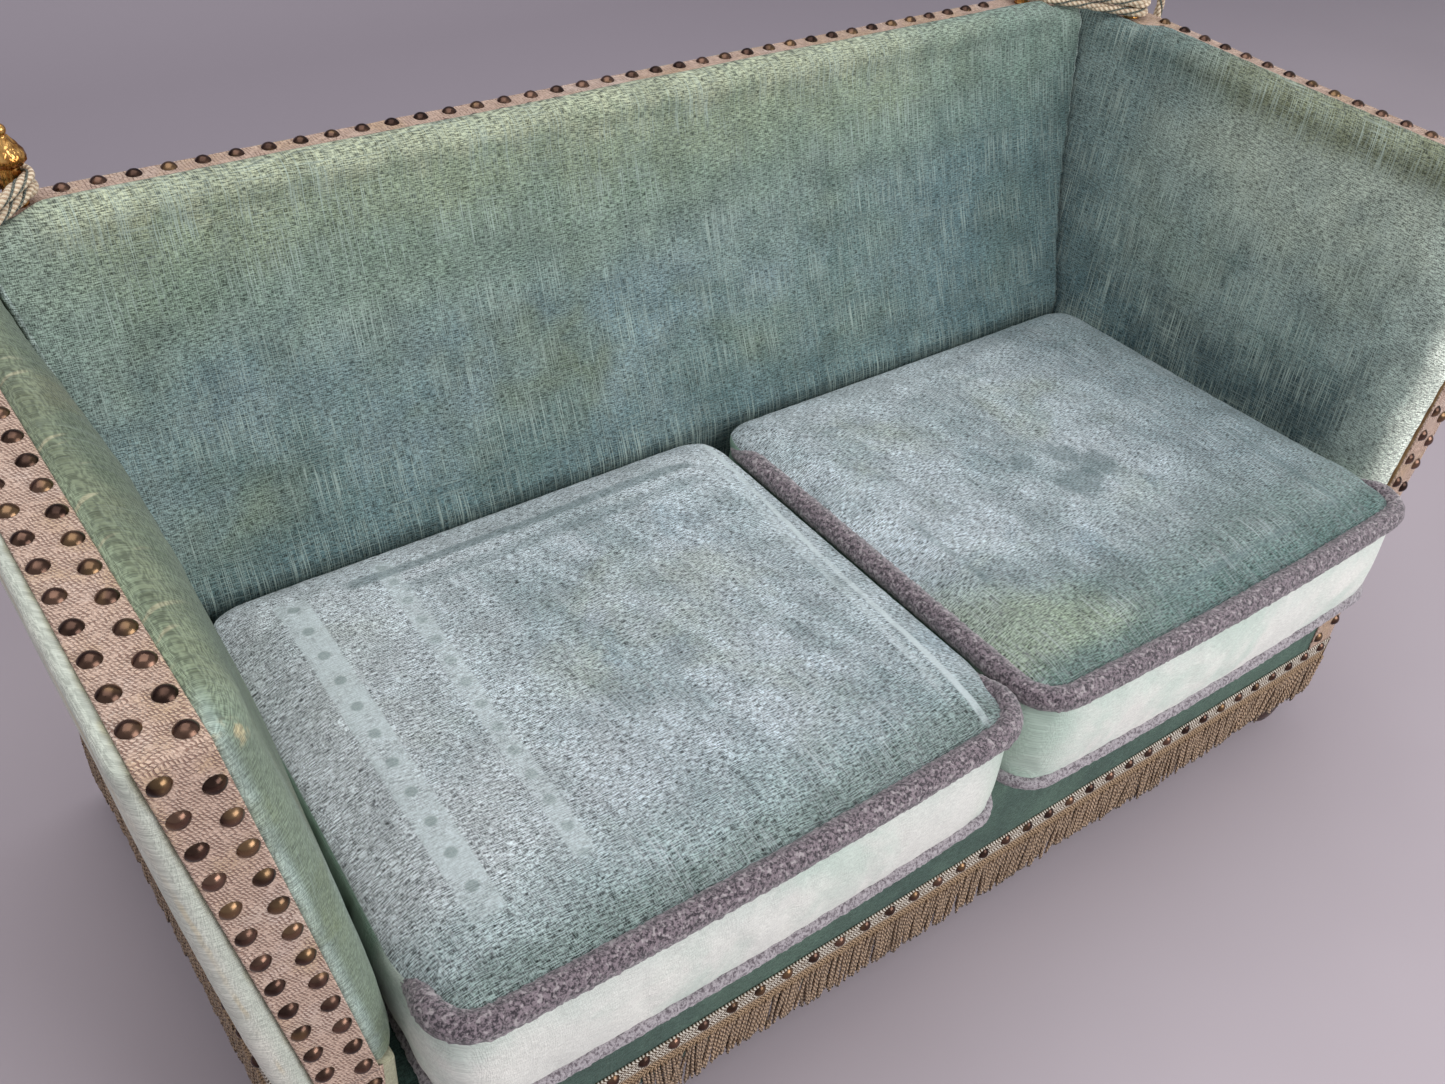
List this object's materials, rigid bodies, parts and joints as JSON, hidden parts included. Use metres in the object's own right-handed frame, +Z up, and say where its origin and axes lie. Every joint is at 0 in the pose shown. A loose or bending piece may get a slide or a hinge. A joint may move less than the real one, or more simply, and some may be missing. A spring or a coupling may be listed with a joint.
{
  "type": "knole sofa",
  "caption": "Two-seat knole sofa with high drop arms roped to the back by finials, loose velvet cushions, nailed tape and a fringed base.",
  "frame": {"origin": "middle of the sofa's overall box, at floor level", "axes": "+X to the right seen from the front, +Y from the front to the back, +Z up"},
  "size_m": [1.756, 0.855, 0.9105],
  "materials": {
    "cushion_velvet": "worn velvet, nap pressed in patches, pale borders",
    "cushion_piping": "fuzzy chenille",
    "back_velvet": "slubbed velvet, faded at the top",
    "arm_velvet": "slubbed velvet, worn along the tape",
    "outside_velvet": "pale faded velvet",
    "base_velvet": "dark green velvet",
    "deck_cloth": "plain platform cloth",
    "galloon_tape": "woven tape with a stitched pattern",
    "nail_brass": "antique bronze domes",
    "fringe_header_braid": "braid with pale loops",
    "fringe_cord": "twisted bullion cords",
    "gilt_finial": "polished gilt with leaf carving",
    "rope_cord": "twisted cord, cream with dark strands",
    "tassel_cord": "cut cord tassel",
    "frame_beech": "planed beech",
    "foot_wood": "dark stained and polished",
    "spring_steel": "drawn wire",
    "hinge_steel": "plain pressed steel"
  },
  "bodies": {
    "base": {"back_pad": "back_velvet", "back_outer_cover": "outside_velvet", "base_cover_left": "outside_velvet", "base_cover_right": "outside_velvet", "base_cover_front": "base_velvet", "seat_deck": "deck_cloth", "back_tape": "galloon_tape", "base_tape": "galloon_tape", "back_nails": "nail_brass", "base_nails": "nail_brass", "fringe_header": "fringe_header_braid", "fringe_front": "fringe_cord", "fringe_rear": "fringe_cord", "fringe_left": "fringe_cord", "fringe_right": "fringe_cord", "finial_back_left": "gilt_finial", "finial_back_right": "gilt_finial", "rope_left": "rope_cord", "rope_right": "rope_cord", "tassel_left": "tassel_cord", "tassel_right": "tassel_cord", "rail_front": "frame_beech", "rail_rear": "frame_beech", "rail_side_left": "frame_beech", "rail_side_right": "frame_beech", "centre_stretcher": "frame_beech", "corner_blocks": "frame_beech", "back_posts": "frame_beech", "back_top_rail": "frame_beech", "back_lower_rail": "frame_beech", "back_upright": "frame_beech", "foot_front_left": "foot_wood", "foot_front_right": "foot_wood", "foot_rear_left": "foot_wood", "foot_rear_right": "foot_wood", "seat_springs": "spring_steel", "hinge_base_left": "hinge_steel", "hinge_base_right": "hinge_steel"},
    "arm_left": {"arm_inner_pad_left": "arm_velvet", "arm_outer_pad_left": "outside_velvet", "arm_tape_left": "galloon_tape", "arm_nails_left": "nail_brass", "arm_bottom_rail_left": "frame_beech", "arm_top_rail_left": "frame_beech", "arm_posts_left": "frame_beech", "finial_arm_left": "gilt_finial", "hinge_arm_left": "hinge_steel"},
    "seat_cushion_left": {"cushion_left": "cushion_velvet", "cushion_piping_left": "cushion_piping"},
    "arm_right": {"arm_inner_pad_right": "arm_velvet", "arm_outer_pad_right": "outside_velvet", "arm_tape_right": "galloon_tape", "arm_nails_right": "nail_brass", "arm_bottom_rail_right": "frame_beech", "arm_top_rail_right": "frame_beech", "arm_posts_right": "frame_beech", "finial_arm_right": "gilt_finial", "hinge_arm_right": "hinge_steel"},
    "seat_cushion_right": {"cushion_right": "cushion_velvet", "cushion_piping_right": "cushion_piping"}
  },
  "joints": [
    {"name": "arm_drop_left", "type": "hinge", "parent": "base", "child": "arm_left", "pos_m": [-0.75, 0, 0.39575], "axis": [0, -1, 0], "range_deg": [0, 80], "deforming": ["rope_left", "tassel_left"]},
    {"name": "arm_drop_right", "type": "hinge", "parent": "base", "child": "arm_right", "pos_m": [0.75, 0, 0.39575], "axis": [0, 1, 0], "range_deg": [0, 80], "deforming": ["rope_right", "tassel_right"]},
    {"name": "cushion_lift_left", "type": "slide", "parent": "base", "child": "seat_cushion_left", "axis": [0, 0, 1], "range_m": [0, 0.55]},
    {"name": "cushion_lift_right", "type": "slide", "parent": "base", "child": "seat_cushion_right", "axis": [0, 0, 1], "range_m": [0, 0.55]}
  ]
}
